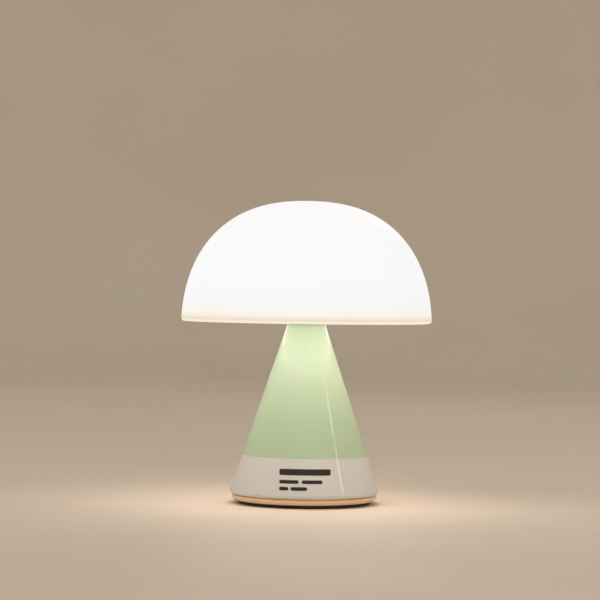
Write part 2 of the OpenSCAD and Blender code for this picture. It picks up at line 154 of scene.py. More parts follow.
def turned(outline, segments=256):
    """A bmesh of a closed (radius, z) outline turned about Z."""
    bm = bmesh.new()
    angles = [FULL_TURN * i / segments for i in range(segments)]
    on_axis = [bm.verts.new((0, 0, z)) if r < 1e-6 else None for r, z in outline]
    rings = [
        None if pole else [bm.verts.new((r * math.cos(a), r * math.sin(a), z)) for a in angles]
        for pole, (r, z) in zip(on_axis, outline)
    ]
    for k in range(len(outline)):
        m = (k + 1) % len(outline)
        low, high, low_pole, high_pole = rings[k], rings[m], on_axis[k], on_axis[m]
        if low_pole and high_pole:
            continue
        for i in range(segments):
            j = (i + 1) % segments
            if low_pole:
                bm.faces.new((low_pole, high[j], high[i]))
            elif high_pole:
                bm.faces.new((low[i], low[j], high_pole))
            else:
                bm.faces.new((low[i], low[j], high[j], high[i]))
    return bm


def slot_loop(width, height, y):
    """A ring of points on a slot-shaped outline at the port. y is a number, or a function of x and z."""
    r = height / 2
    flat = (width - height) / 2
    points = arc(flat, 0, r, -90, 90, 16) + arc(-flat, 0, r, 90, 270, 16)
    at = y if callable(y) else lambda x, z: y
    return [(x, at(x, z + PORT_Z), z + PORT_Z) for x, z in points]


def rounded_route(points, rounds=3):
    """A smooth path along a route: every corner is cut off, once in each round."""
    path = [Vector(p) for p in points]
    for _ in range(rounds):
        cut = [path[0]]
        for a, b in zip(path, path[1:]):
            cut += [a.lerp(b, 0.25), a.lerp(b, 0.75)]
        path = cut + [path[-1]]
    return path


def sweep(bm, path, radius, sides=16):
    """Sweeps a round wire along a path, with a frame that doesn't twist, and closes both ends."""
    angles = [FULL_TURN * i / sides for i in range(sides)]
    tangents = []
    for i in range(len(path)):
        before, after = path[max(i - 1, 0)], path[min(i + 1, len(path) - 1)]
        tangents.append((after - before).normalized())
    across = tangents[0].orthogonal().normalized()
    loops = []
    for point, tangent in zip(path, tangents):
        across = (across - tangent * across.dot(tangent)).normalized()
        up = tangent.cross(across)
        loops.append([point + radius * (math.cos(a) * across + math.sin(a) * up) for a in angles])
    rings = loft(bm, loops)
    bm.faces.new(rings[0][::-1])
    bm.faces.new(rings[-1])


# ---- Material tools ----


def colour(text):
    """A #rrggbb display colour as linear RGBA."""
    values = [int(text[i : i + 2], 16) / 255 for i in (1, 3, 5)]
    linear = [v / 12.92 if v <= 0.04045 else ((v + 0.055) / 1.055) ** 2.4 for v in values]
    return (*linear, 1.0)


class Shader:
    """A Principled material whose nodes are added and linked by name."""

    def __init__(self, name, **values):
        self.material = bpy.data.materials.new(name)
        self.material.use_nodes = True
        self.tree = self.material.node_tree
        self.bsdf = self.tree.nodes["Principled BSDF"]
        for socket, value in values.items():
            self.bsdf.inputs[socket.replace("_", " ")].default_value = value
        self.place = self.add("TexCoord").outputs["Object"]

    def add(self, kind, inputs=None, **settings):
        node = self.tree.nodes.new("ShaderNode" + kind)
        for key, value in settings.items():
            setattr(node, key, value)
        for socket, value in (inputs or {}).items():
            self.feed(node.inputs[socket], value)
        return node

    def feed(self, socket, value):
        if isinstance(value, bpy.types.NodeSocket):
            self.tree.links.new(value, socket)
        else:
            socket.default_value = value

    def maths(self, operation, a, b=0.0, clamp=False):
        node = self.add("Math", operation=operation, use_clamp=clamp)
        for socket, value in zip(node.inputs, (a, b)):
            self.feed(socket, value)
        return node.outputs[0]

    def noise(self, scale, detail=3.0, stretch=None):
        """Noise of a fineness per metre, which may be stretched along an axis."""
        vector = self.place
        if stretch:
            vector = self.add("Mapping", {"Vector": vector, "Scale": stretch}).outputs[0]
        inputs = {"Vector": vector, "Scale": scale, "Detail": detail}
        return self.add("TexNoise", inputs).outputs["Fac"]

    def ramp(self, value, stops):
        """A colour ramp of (position, colour) stops."""
        node = self.add("ValToRGB", {"Fac": value})
        elements = node.color_ramp.elements
        for element, (position, text) in zip(elements, (stops[0], stops[-1])):
            element.position = position
            element.color = colour(text)
        for position, text in stops[1:-1]:
            elements.new(position).color = colour(text)
        return node.outputs["Color"]

    def spread(self, value, low, high):
        """Maps the usual range of a noise, 0.3 to 0.7, onto low to high."""
        inputs = {"Value": value, 1: 0.3, 2: 0.7, 3: low, 4: high}
        return self.add("MapRange", inputs).outputs[0]

    def mix(self, share, a, b):
        node = self.add("Mix", data_type="RGBA")
        for index, value in ((0, share), (6, a), (7, b)):
            self.feed(node.inputs[index], value)
        return node.outputs[2]

    def clouded(self, pattern, low, high):
        """A colour that drifts between two others as a pattern does."""
        return self.mix(self.spread(pattern, 0, 1), colour(low), colour(high))

    def base(self, value):
        self.feed(self.bsdf.inputs["Base Color"], value)

    def rough(self, value):
        self.feed(self.bsdf.inputs["Roughness"], value)

    def bump(self, height, depth, under=None):
        """Bumps of a depth in millimetres, on top of the bumps under them."""
        inputs = {"Height": height, "Distance": depth * MM, "Strength": 1.0}
        if under:
            inputs["Normal"] = under
        return self.add("Bump", inputs).outputs["Normal"]

    def normal(self, value):
        self.feed(self.bsdf.inputs["Normal"], value)

    def height_above(self, z):
        """Metres above a level given in millimetres."""
        split = self.add("SeparateXYZ", {"Vector": self.place})
        return self.maths("SUBTRACT", split.outputs["Z"], z * MM)

    def radius(self):
        """Metres from the lamp's axis."""
        split = self.add("SeparateXYZ", {"Vector": self.place})
        flat = self.add("CombineXYZ", {"X": split.outputs["X"], "Y": split.outputs["Y"]})
        return self.add("VectorMath", {0: flat.outputs[0]}, operation="LENGTH").outputs["Value"]


def moulded(name, low, high, rough=(0.35, 0.5), grain_depth=0.01, grain_size=0.3):
    """Moulded plastic or rubber: slight clouding of the colour, uneven gloss and an even fine texture."""
    s = Shader(name)
    s.base(s.clouded(s.noise(60), low, high))
    s.rough(s.spread(s.noise(140, 4), *rough))
    s.normal(s.bump(s.noise(1 / (grain_size * MM), 2), grain_depth))
    return s.material


def metal(name, low, high, rough, stretch, line_size):
    """Drawn, rolled or brushed metal: fine lines across the stretched direction, with uneven gloss."""
    s = Shader(name, Metallic=1.0)
    fineness = 1 / (line_size * MM)
    lines = s.noise(fineness, 4, stretch)
    s.base(s.clouded(lines, low, high))
    s.rough(s.spread(s.noise(fineness / 2, 3, stretch), *rough))
    s.normal(s.bump(lines, 0.004))
    return s.material


# ---- Materials: one for each of the record's slots, and five finer ones ----
# The finer ones are opal_underside, printed_ink, base_plastic_painted_bounce, diode_lens and gold_contact.

UNDERSIDE_GLOW = 3.7  # emission strength of the shade's underside


def opal_shade():
    """Opal polycarbonate lit from inside: even and bright on the dome, fading to cream below the board."""
    s = Shader("opal_shade", Specular_IOR_Level=0.3)
    s.base(s.clouded(s.noise(40), "#a8a6a2", "#aeaca8"))
    s.rough(s.spread(s.noise(90, 4), 0.42, 0.5))
    s.normal(s.bump(s.noise(2500, 2), 0.004))
    reach = TOP_Z - RIM_Z
    share = s.maths("DIVIDE", s.height_above(RIM_Z), reach * MM, clamp=True)
    glow = [  # height above the rim in millimetres, and colour
        (1.0, "#dbd2bf"), (1.9, "#c6bdaf"), (3.4, "#d9d3c5"), (5.5, "#dedbd4"),
        (LED_PLANE_Z + 0.5 - RIM_Z, "#d8dde2"), (0.4 * reach, "#d9e0e4"), (reach, "#d6d7da"),
    ]
    light = s.ramp(share, [(height / reach, tint) for height, tint in glow])
    cloud = s.spread(s.noise(22, 2), 0.0, 0.05)
    s.feed(s.bsdf.inputs["Emission Color"], s.mix(cloud, light, colour("#ffffff")))
    s.bsdf.inputs["Emission Strength"].default_value = 1.0
    return s.material


def opal_underside():
    """The shade's floor: light comes back down through it, least near the middle, under the board."""
    s = Shader("opal_underside")
    s.base(s.clouded(s.noise(40), "#d8cfbd", "#ded6c6"))
    s.rough(s.spread(s.noise(90, 4), 0.4, 0.5))
    s.normal(s.bump(s.noise(2500, 2), 0.004))
    share = s.maths("DIVIDE", s.radius(), FLOOR_R * MM, clamp=True)
    # share of the floor's radius, and colour
    glow = [(0.36, "#a89b9c"), (0.55, "#d0c1c2"), (0.72, "#fff0f0"), (0.9, "#f7e6e2"), (1.0, "#efdfdb")]
    s.feed(s.bsdf.inputs["Emission Color"], s.ramp(share, glow))
    s.bsdf.inputs["Emission Strength"].default_value = UNDERSIDE_GLOW
    return s.material


def two_tone_paint():
    """Gloss lacquer in pastel green over off-white, under a clear coat with a faint orange peel."""
    s = Shader("two_tone_paint", Coat_Weight=0.32, Coat_Roughness=0.06, Coat_IOR=1.5, Specular_IOR_Level=0.08)
    green = s.clouded(s.noise(30), "#b6d0af", "#bcd5b5")
    white = s.clouded(s.noise(30), "#d9dad6", "#dedfdb")
    blur = 0.04 * MM
    edge = s.add("MapRange", {"Value": s.height_above(PAINT_Z), 1: -blur, 2: blur}).outputs[0]
    s.base(s.mix(edge, white, green))
    s.rough(s.spread(s.noise(160, 4), 0.3, 0.4))
    step = s.bump(edge, 0.03)
    peel = s.bump(s.noise(700, 1), 0.0012, under=step)
    s.normal(peel)
    s.feed(s.bsdf.inputs["Coat Normal"], peel)
    return s.material


def printed_ink():
    s = Shader("printed_ink", Coat_Weight=0.6, Coat_Roughness=0.15)
    s.base(s.clouded(s.noise(900, 4), "#1b1716", "#262120"))
    s.rough(s.spread(s.noise(1500, 2), 0.38, 0.55))
    s.normal(s.bump(s.noise(6000, 2), 0.002))
    return s.material


def circuit_board(name, mask_low, mask_high, copper):
    """Solder mask over glass weave, with copper tracks showing through it on a level board's two faces."""
    s = Shader(name, Coat_Weight=0.4, Coat_Roughness=0.2)
    inputs = {
        "Vector": s.place, "Scale": 420.0, "Mortar Size": 0.09, "Color1": (0, 0, 0, 1),
        "Color2": (0, 0, 0, 1), "Mortar": (1, 1, 1, 1), "Brick Width": 1.3, "Row Height": 0.45,
    }
    tracks = s.add("TexBrick", inputs, offset=0.35).outputs["Color"]
    upright = s.add("SeparateXYZ", {"Vector": s.add("NewGeometry").outputs["Normal"]}).outputs["Z"]
    on_face = s.maths("GREATER_THAN", s.maths("ABSOLUTE", upright), 0.7)
    kept = s.maths("MULTIPLY", on_face, s.maths("GREATER_THAN", s.noise(230, 0), 0.5))
    broken = s.maths("MULTIPLY", tracks, kept)
    mask = s.clouded(s.noise(80), mask_low, mask_high)
    s.base(s.mix(broken, mask, colour(copper)))
    s.rough(s.spread(s.noise(400, 4), 0.3, 0.45))
    weave = s.bump(s.noise(3500, 1), 0.004)
    s.normal(s.bump(broken, 0.03, under=weave))
    return s.material


def led_phosphor():
    s = Shader("led_phosphor")
    tint = s.clouded(s.noise(2500, 3), "#f0c653", "#f7d973")
    s.base(tint)
    s.rough(s.spread(s.noise(4000, 2), 0.45, 0.6))
    s.normal(s.bump(s.noise(6000, 2), 0.01))
    s.feed(s.bsdf.inputs["Emission Color"], s.mix(0.6, tint, colour("#fff6dc")))
    s.bsdf.inputs["Emission Strength"].default_value = 4.0
    return s.material


def aluminium_plate():
    return metal("aluminium_plate", "#b9bcbf", "#d0d2d4", (0.28, 0.42), (1, 30, 1), 0.4)


def spring_steel():
    return metal("spring_steel", "#84878b", "#b4b7ba", (0.2, 0.34), (30, 30, 1), 0.3)


def stamped_steel():
    return metal("stamped_steel", "#a2a5a8", "#bfc2c5", (0.24, 0.36), (1, 30, 1), 0.3)


def turned_metal(name, low, high, rough):
    """Metal turned on a lathe: fine rings about the lamp's axis."""
    s = Shader(name, Metallic=1.0)
    rings = s.add("CombineXYZ", {"X": s.radius(), "Z": s.height_above(0)}).outputs[0]
    lines = s.add("TexNoise", {"Vector": rings, "Scale": 6000.0, "Detail": 2.0}).outputs["Fac"]
    s.base(s.clouded(lines, low, high))
    s.rough(s.spread(s.noise(300, 3), *rough))
    s.normal(s.bump(lines, 0.006))
    return s.material


def ballast_steel():
    """Zinc-plated plate: a spangle of crystals, with a rolled surface."""
    s = Shader("ballast_steel", Metallic=1.0)
    crystals = s.add("TexVoronoi", {"Vector": s.place, "Scale": 260.0}).outputs["Color"]
    s.base(s.mix(crystals, colour("#8d9094"), colour("#b3b6b9")))
    s.rough(s.spread(s.noise(350, 4), 0.34, 0.52))
    s.normal(s.bump(s.noise(1800, 3, (1, 20, 1)), 0.006))
    return s.material


def steel_screw():
    s = Shader("steel_screw", Metallic=1.0)
    s.base(s.clouded(s.noise(900, 4), "#9b9fa4", "#c3c6ca"))
    s.rough(s.spread(s.noise(1500, 3), 0.22, 0.42))
    s.normal(s.bump(s.noise(3500, 3), 0.006))
    return s.material


def cell_sleeve():
    """Shrink sleeve: glossy film with faint wrinkles round the cell."""
    s = Shader("cell_sleeve", Coat_Weight=0.7, Coat_Roughness=0.12)
    s.base(s.clouded(s.noise(120, 3), "#2f64ab", "#4379bd"))
    s.rough(s.spread(s.noise(260, 4), 0.28, 0.42))
    s.normal(s.bump(s.noise(350, 3, (1, 1, 6)), 0.04))
    return s.material


def clear_pipe():
    s = Shader("clear_pipe", Transmission_Weight=0.85, IOR=1.49)
    s.base(s.clouded(s.noise(300, 2), "#dfeee4", "#f2fbf4"))
    s.rough(s.spread(s.noise(900, 3), 0.08, 0.18))
    s.normal(s.bump(s.noise(1500, 2), 0.004))
    return s.material


def gold_contact():
    return metal("gold_contact", "#c79a3f", "#e0b85c", (0.18, 0.3), (1, 20, 1), 0.1)


material = {
    "opal_shade": opal_shade(),
    "opal_underside": opal_underside(),
    "two_tone_paint": two_tone_paint(),
    "printed_ink": printed_ink(),
    "offwhite_plastic": moulded("offwhite_plastic", "#dad6cd", "#e2ded6", (0.3, 0.42), 0.005),
    # The base ring's off-white plastic tinted peach: painted warm light bounced up from the floor, not the
    # plastic's own colour
    "base_plastic_painted_bounce": moulded("base_plastic_painted_bounce", "#f6d5ba", "#fbdac0", (0.3, 0.42), 0.005),
    "diode_lens": moulded("diode_lens", "#d8d4c6", "#e6e3d8", (0.15, 0.3), 0.004),
    "white_plastic": moulded("white_plastic", "#dedbd2", "#eae7df", (0.4, 0.55)),
    "aluminium_plate": aluminium_plate(),
    "white_board": circuit_board("white_board", "#e4e4de", "#efefea", "#d4d2c6"),
    "green_board": circuit_board("green_board", "#1d6b3c", "#27794a", "#4f9c5e"),
    "led_phosphor": led_phosphor(),
    "cream_nylon": moulded("cream_nylon", "#ded5b9", "#eae3cc", (0.45, 0.6)),
    "steel_screw": steel_screw(),
    "stamped_steel": stamped_steel(),
    "spring_steel": spring_steel(),
    "ballast_steel": ballast_steel(),
    "brass_collar": turned_metal("brass_collar", "#b98f3c", "#d6b15c", (0.2, 0.34)),
    "black_rubber": moulded("black_rubber", "#232324", "#333335", (0.65, 0.85), 0.03, 0.4),
    # Dark grey rubber, made darker still so that the foot ring stands in for the contact shadow under the
    # base: partly its own colour, partly painted shadow
    "grey_rubber": moulded("grey_rubber", "#343331", "#42403e", (0.7, 0.88), 0.03, 0.4),
    "black_plastic": moulded("black_plastic", "#1d1d1f", "#2b2b2e", (0.38, 0.55), 0.01, 0.2),
    "cell_sleeve": cell_sleeve(),
    "wire_red": moulded("wire_red", "#a81f1a", "#c02c24", (0.32, 0.45), 0.01, 0.4),
    "wire_black": moulded("wire_black", "#18181a", "#252528", (0.32, 0.45), 0.01, 0.4),
    "wire_white": moulded("wire_white", "#cfcabd", "#e2ded2", (0.32, 0.45), 0.01, 0.4),
    "clear_pipe": clear_pipe(),
    "gold_contact": gold_contact(),
}


# ---- CAD nodes that keep their shape, and tools for the pieces that replace the others ----

SLOTS = {part["node"]: part["material_slot"] for part in frame["record"]["subparts"]}
# The base cover takes the peach-tinted copy of the off-white plastic, which carries painted warm bounce light
OTHER_FINISH = {"base_cover": "base_plastic_painted_bounce", "charge_diode": "diode_lens"}
USUAL_EDGE = 0.15  # width of the softened edges, in millimetres
OTHER_EDGE = {
    "battery_plus_tab": 0.04, "battery_minus_tab": 0.04, "board_chips": 0.08, "charge_diode": 0.08,
    "charge_light_pipe": 0.1, "usb_tongue": 0.08, "base_cover": 0.1,
}


def finish_node(name):
    """Softens a CAD node's sharp edges and gives it its material."""
    node = frame["nodes"][name]
    mesh = node.data
    if "custom_normal" in mesh.attributes:
        mesh.attributes.remove(mesh.attributes["custom_normal"])
    mesh.shade_smooth()
    node.modifiers.new("weld", "WELD").merge_threshold = 0.002 * MM
    flat = node.modifiers.new("flat", "DECIMATE")
    flat.decimate_type = "DISSOLVE"
    flat.angle_limit = math.radians(0.2)
    soft = node.modifiers.new("soft", "BEVEL")
    soft.width = OTHER_EDGE.get(name, USUAL_EDGE) * MM
    soft.segments = 2
    soft.limit_method = "ANGLE"
    soft.angle_limit = math.radians(32)
    soft.harden_normals = True
    mesh.materials.clear()
    mesh.materials.append(material[OTHER_FINISH.get(name, SLOTS[name])])


def stand_in(piece, *nodes):
    """Puts a finer mesh in place of CAD nodes of one material slot."""
    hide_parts(*nodes)
    return piece


def carved(bm, cutters):
    """A bmesh with other bmeshes cut from it."""
    objects = []
    for part in [bm, *cutters]:
        bmesh.ops.recalc_face_normals(part, faces=part.faces)
        mesh = bpy.data.meshes.new("carving")
        part.to_mesh(mesh)
        part.free()
        objects.append(bpy.data.objects.new("carving", mesh))
        bpy.context.scene.collection.objects.link(objects[-1])
    for tool in objects[1:]:
        cut = objects[0].modifiers.new("cut", "BOOLEAN")
        cut.operation = "DIFFERENCE"
        cut.solver = "EXACT"
        cut.object = tool
    graph = bpy.context.evaluated_depsgraph_get()
    result = bmesh.new()
    result.from_object(objects[0], graph)
    for made in objects:
        bpy.data.meshes.remove(made.data)
    return result


def box_mesh(size, centre, turn=0.0):
    """A bmesh box, turned about Z at the lamp's axis, in degrees."""
    bm = bmesh.new()
    bmesh.ops.create_cube(bm, size=1)
    place = Matrix.Rotation(math.radians(turn), 4, "Z") @ Matrix.Translation(centre)
    bm.transform(place @ Matrix.Diagonal((*size, 1)))
    return bm


def rod(radius, low, high, sides):
    """A bmesh rod along Z."""
    bm = bmesh.new()
    angles = [FULL_TURN * i / sides for i in range(sides)]
    loops = [[(radius * math.cos(a), radius * math.sin(a), z) for a in angles] for z in (low, high)]
    for end in loft(bm, loops):
        bm.faces.new(end)
    return bm


def join(target, other):
    """Adds a bmesh to another one."""
    mesh = bpy.data.meshes.new("joined")
    other.to_mesh(mesh)
    other.free()
    target.from_mesh(mesh)
    bpy.data.meshes.remove(mesh)


# ---- Shade ----


def dome_curve(z, inset, steps=80):
    """Points of the dome's superellipse, set in from its outside, from a height up to the axis."""
    half_width, rise = DOME_R - inset, TOP_Z - WAIST_Z - inset
    start = math.asin(((z - WAIST_Z) / rise) ** (DOME_POWER / 2))
    angles = [start + (math.pi / 2 - start) * i / steps for i in range(steps)]
    points = [
        (half_width * math.cos(a) ** (2 / DOME_POWER), WAIST_Z + rise * math.sin(a) ** (2 / DOME_POWER))
        for a in angles
    ]
    return points + [(0, TOP_Z - inset)]


def make_dome():
    """The shell, with a rounded rim and an inner ledge over the seat of the shade's floor."""
    gap = 0.05
    lower = RIM_Z + RIM_ROUND
    rim_r = dome_curve(lower, 0)[0][0]
    seat_r = DOME_R - DOME_WALL - gap
    ledge_z, ledge_width, ledge_height, ledge_slope = FLOOR_TOP_Z + gap, 1.5, 1.2, 1.1
    inner = dome_curve(ledge_z + ledge_height + ledge_slope, DOME_WALL)
    outline = (
        arc(rim_r - RIM_ROUND, lower, RIM_ROUND, -90, 0, 12)
        + dome_curve(lower + 0.1, 0)
        + list(reversed(inner))
        + [(seat_r - ledge_width, ledge_z + ledge_height), (seat_r - ledge_width, ledge_z), (seat_r, ledge_z)]
        + [(seat_r, RIM_Z + 0.3), (seat_r + 0.2, RIM_Z)]
    )
    piece = make_piece("opal_dome", turned(outline, 320), material["opal_shade"], "shade")
    return stand_in(piece, "shade_dome")


def make_shade_floor():
    """A flat ring with rounded edges, which the light on the cone comes from."""
    low, high, r, inner, soft, bands = FLOOR_LOW_Z, FLOOR_TOP_Z, FLOOR_R, HUB_R + 0.05, 0.4, 12
    outline = (
        arc(inner + soft, low + soft, soft, -180, -90, 5)
        + [(inner + (r - inner) * i / bands, low) for i in range(1, bands)]
        + arc(r - soft, low + soft, soft, -90, 0, 5)
        + arc(r - soft, high - soft, soft, 0, 90, 5)
        + arc(inner + soft, high - soft, soft, 90, 180, 5)
    )
    piece = make_piece("opal_floor", turned(outline), material["opal_underside"], "shade")
    return stand_in(piece, "shade_floor")


# ---- Cone ----


def make_cone():
    """The painted shell: rolled in at the foot, with openings for the port and the charge light."""
    lean = math.degrees(math.atan(1 / CONE_RISE))
    roll_x = CONE_FOOT_R - CONE_ROLL / math.tan(math.radians((90 - lean) / 2))
    roll_z = SEAM_Z + CONE_ROLL
    first_ring, ring_gap, soft = 9, 4, 0.3
    outline = (
        [(LIP_IN_R, SEAM_Z)]
        + arc(roll_x, roll_z, CONE_ROLL, -90, lean, 16)
        + [(cone_r(z), z) for z in range(first_ring, int(CONE_TOP_Z), ring_gap)]
        + [(cone_r(CONE_TOP_Z - soft), CONE_TOP_Z - soft), (cone_r(CONE_TOP_Z) - soft, CONE_TOP_Z)]
        + [(cone_in_r(CONE_TOP_Z), CONE_TOP_Z)]
        + arc(roll_x, roll_z, CONE_ROLL - CONE_WALL, lean, -90, 8)
        + [(LIP_IN_R, SEAM_Z + CONE_WALL)]
    )
    inside_y, outside_y, gap = 20, 45, 0.05
    slot = bmesh.new()
    size = [side + 2 * gap for side in PORT_SIZE]
    for end in loft(slot, [slot_loop(*size, inside_y), slot_loop(*size, outside_y)]):
        slot.faces.new(end)
    hole = rod(PIPE_R + gap, inside_y, outside_y, 32)
    hole.transform(Matrix.Translation((PIPE_X, 0, PORT_Z)) @ Matrix.Rotation(-math.pi / 2, 4, "X"))
    shell = carved(turned(outline), [slot, hole])
    piece = make_piece("painted_cone", shell, material["two_tone_paint"], "lamp_base")
    true_cone_normals(piece.data, math.radians(lean))
    return stand_in(piece, "cone_shell")


def true_cone_normals(mesh, lean):
    """Gives the cone's straight wall the exact normals of a cone, also beside the port."""
    normals = [Vector(n.vector) for n in mesh.corner_normals]

    def ideal(point):
        flat = Vector((point.x, point.y, 0)).normalized()
        return flat * math.cos(lean) + Vector((0, 0, math.sin(lean)))

    for face in mesh.polygons:
        if face.normal.dot(ideal(face.center)) > 0.999:
            for loop in face.loop_indices:
                normals[loop] = ideal(mesh.vertices[mesh.loops[loop].vertex_index].co)
    mesh.normals_split_custom_set(normals)


def make_print():
    """Three lines of plain bars printed on the front, in place of lettering."""
    bars = [  # height of a bar's middle, its own height, and its two ends
        (19.6, 3.3, -13.5, 14.0),
        (14.5, 1.9, -13.5, -3.2), (14.5, 1.9, -1.4, 9.6),
        (10.9, 1.9, -13.5, -8.6), (10.9, 1.9, -7.4, 1.4),
    ]
    corner_r, column_gap, least_rise = 0.45, 0.7, 0.02
    ink_top, ink_bottom = 0.03, 0.004  # lifts above the cone
    bm = bmesh.new()
    for middle, height, left, right in bars:
        count = round((right - left) / column_gap)
        spots = []
        for i in range(count + 1):
            x = left + (right - left) * i / count
            edge = min(x - left, right - x, corner_r)
            rise = math.sqrt(max(corner_r**2 - (corner_r - edge) ** 2, least_rise**2))
            half = height / 2 - corner_r + rise
            spots.append([(x, middle + half * t) for t in (-1, -0.33, 0.33, 1)])
        front, back = (
            [[bm.verts.new(on_front(x, z, lift)) for x, z in column] for column in spots]
            for lift in (ink_top, ink_bottom)
        )
        shell_between(bm, front, back)
    return make_piece("front_print", bm, material["printed_ink"], "lamp_base", 60)


def on_front(x, z, lift):
    """The point of the cone's front, raised by a lift, at a sideways place and a height."""
    r = cone_r(z) + lift
    return (x, -math.sqrt(r * r - x * x), z)


def shell_between(bm, front, back):
    """Closes two grids of vertices, the same size, into a thin solid."""
    rows, columns = len(front), len(front[0])
    for i in range(rows - 1):
        for j in range(columns - 1):
            bm.faces.new((front[i][j], front[i + 1][j], front[i + 1][j + 1], front[i][j + 1]))
            bm.faces.new((back[i][j], back[i][j + 1], back[i + 1][j + 1], back[i + 1][j]))
    rim = [(i, 0) for i in range(rows)]
    rim += [(rows - 1, j) for j in range(1, columns)]
    rim += [(i, columns - 1) for i in range(rows - 2, -1, -1)]
    rim += [(0, j) for j in range(columns - 2, 0, -1)]
    for (i, j), (k, m) in zip(rim, rim[1:] + rim[:1]):
        bm.faces.new((front[i][j], back[i][j], back[k][m], front[k][m]))


# ---- Base and port ----


def make_foot_pad():
    """A rubber ring with one shallow groove round the face that it stands on."""
    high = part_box("foot_pad")[1]
    inner, outer, top, soft = 30.0, high.x / MM, high.z / MM, 0.5
    groove_r, groove_half = 33, 0.5
    groove = [
        (groove_r + groove_half * math.cos(a), 0.8 * groove_half * (1 - math.sin(a)))
        for a in (2.94, 2.34, 1.57, 0.8, 0.2)
    ]
    outline = (
        arc(inner + soft, soft, soft, -180, -90, 6)
        + groove
        + arc(outer - soft, soft, soft, -90, 0, 6)
        + [(outer, top), (inner, top)]
    )
    piece = make_piece("foot_ring", turned(outline), material["grey_rubber"], "lamp_base")
    return stand_in(piece, "foot_pad")


def port_surface(x, z):
    """How far back the cone's surface is, at a sideways place and a height."""
    return math.sqrt(cone_r(z) ** 2 - x * x)


def make_bezel():
    """The port's surround: flush with the cone, and recessed round the socket."""
    w, h = PORT_SIZE
    rw, rh = RECESS_SIZE
    sw, sh = (side + 0.2 for side in SOCKET_SIZE)
    back, soft = 35.6, 0.2
    loops = [
        slot_loop(w, h, back),
        slot_loop(w, h, lambda x, z: port_surface(x, z) - soft),
        slot_loop(w - soft, h - soft, lambda x, z: port_surface(x, z) - soft * 0.2),
        slot_loop(w - 2 * soft, h - 2 * soft, port_surface),
        slot_loop(rw + 2 * soft, rh + 2 * soft, port_surface),
        slot_loop(rw + soft, rh + soft, lambda x, z: port_surface(x, z) - soft * 0.2),
        slot_loop(rw, rh, lambda x, z: max(port_surface(x, z) - soft, RECESS_Y + 0.02)),
        slot_loop(rw, rh, RECESS_Y),
        slot_loop(sw + 0.2, sh + 0.2, RECESS_Y),
        slot_loop(sw, sh, RECESS_Y - 0.1),
        slot_loop(sw, sh, back),
    ]
    bm = bmesh.new()
    loft(bm, loops, closed=True)
    piece = make_piece("port_surround", bm, material["offwhite_plastic"], "lamp_base")
    return stand_in(piece, "port_bezel")


def make_usb_socket():
    """The socket's metal shell, open and chamfered at its mouth."""
    w, h = SOCKET_SIZE
    t = SOCKET_WALL
    iw, ih = w - 2 * t, h - 2 * t
    inner_back = SOCKET_BACK_Y + 1
    bm = bmesh.new()
    rings = loft(
        bm,
        [
            slot_loop(iw, ih, inner_back),
            slot_loop(iw, ih, MOUTH_Y - 0.15),
            slot_loop(iw + 0.2, ih + 0.2, MOUTH_Y),
            slot_loop(w - 0.16, h - 0.16, MOUTH_Y),
            slot_loop(w, h, MOUTH_Y - 0.1),
            slot_loop(w, h, SOCKET_BACK_Y + 0.2),
            slot_loop(w - 0.2, h - 0.2, SOCKET_BACK_Y),
        ],
    )
    bm.faces.new(rings[0])
    bm.faces.new(rings[-1])
    piece = make_piece("usb_shell", bm, material["stamped_steel"], "lamp_base")
    return stand_in(piece, "usb_socket")


def make_usb_contacts():
    """Twelve gold contacts on each side of the socket's tongue."""
    count, pitch, width, length, thickness = 12, 0.5, 0.26, 4.2, 0.04
    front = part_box("usb_tongue")[1].y / MM - 0.5
    bm = bmesh.new()
    for i in range(count):
        for side in (-1, 1):
            place = ((i - (count - 1) / 2) * pitch, front - length / 2, PORT_Z + side * 0.36)
            join(bm, box_mesh((width, length, thickness), place))
    return make_piece("usb_contacts", bm, material["gold_contact"], "lamp_base")


# ---- Lighting board ----


def make_led_chips():
    """White diodes in a circle: each is a moulded frame round a window of phosphor."""
    count, circle, length, width, height = 12, 20, 3.5, 2.8, 0.8
    bm = bmesh.new()
    for i in range(count):
        place = (circle, 0, LED_PLANE_Z + height / 2)
        chip = box_mesh((length, width, height), place, 360 * i / count)
        framed_window(chip, LED_PLANE_Z + height, 0.35)
        join(bm, chip)
    kinds = [material["white_plastic"], material["led_phosphor"]]
    piece = make_piece("white_leds", bm, kinds, "shade")
    return stand_in(piece, "led_white_chips")


def framed_window(chip, top, frame_width):
    """Sinks a window of the second material into a chip's top face."""
    faces = [f for f in chip.faces if f.calc_center_median().z > top - 0.01]
    bmesh.ops.inset_region(chip, faces=faces, thickness=frame_width, depth=0)
    inner = [f for f in chip.faces if f.calc_center_median().z > top - 0.01]
    window = max(inner, key=lambda f: f.calc_area())
    sunk = bmesh.ops.inset_region(chip, faces=[window], thickness=0.12, depth=-0.1)
    window.material_index = 1
    for f in sunk["faces"]:
        f.material_index = 1


def make_colour_chips():
    """Three larger diodes nearer the middle."""
    circle, side, height = 9.5, 5, 1.5
    bm = bmesh.new()
    for angle in (90, 210, 330):
        chip = box_mesh((side, side, height), (circle, 0, LED_PLANE_Z + height / 2), angle)
        framed_window(chip, LED_PLANE_Z + height, 0.5)
        join(bm, chip)
    kinds = [material["white_plastic"], material["led_phosphor"]]
    piece = make_piece("colour_leds", bm, kinds, "shade")
    return stand_in(piece, "led_colour_chips")


# ---- Wires and spring ----


def on_circle(radius, angle, z):
    return Vector((radius * math.cos(angle), radius * math.sin(angle), z))


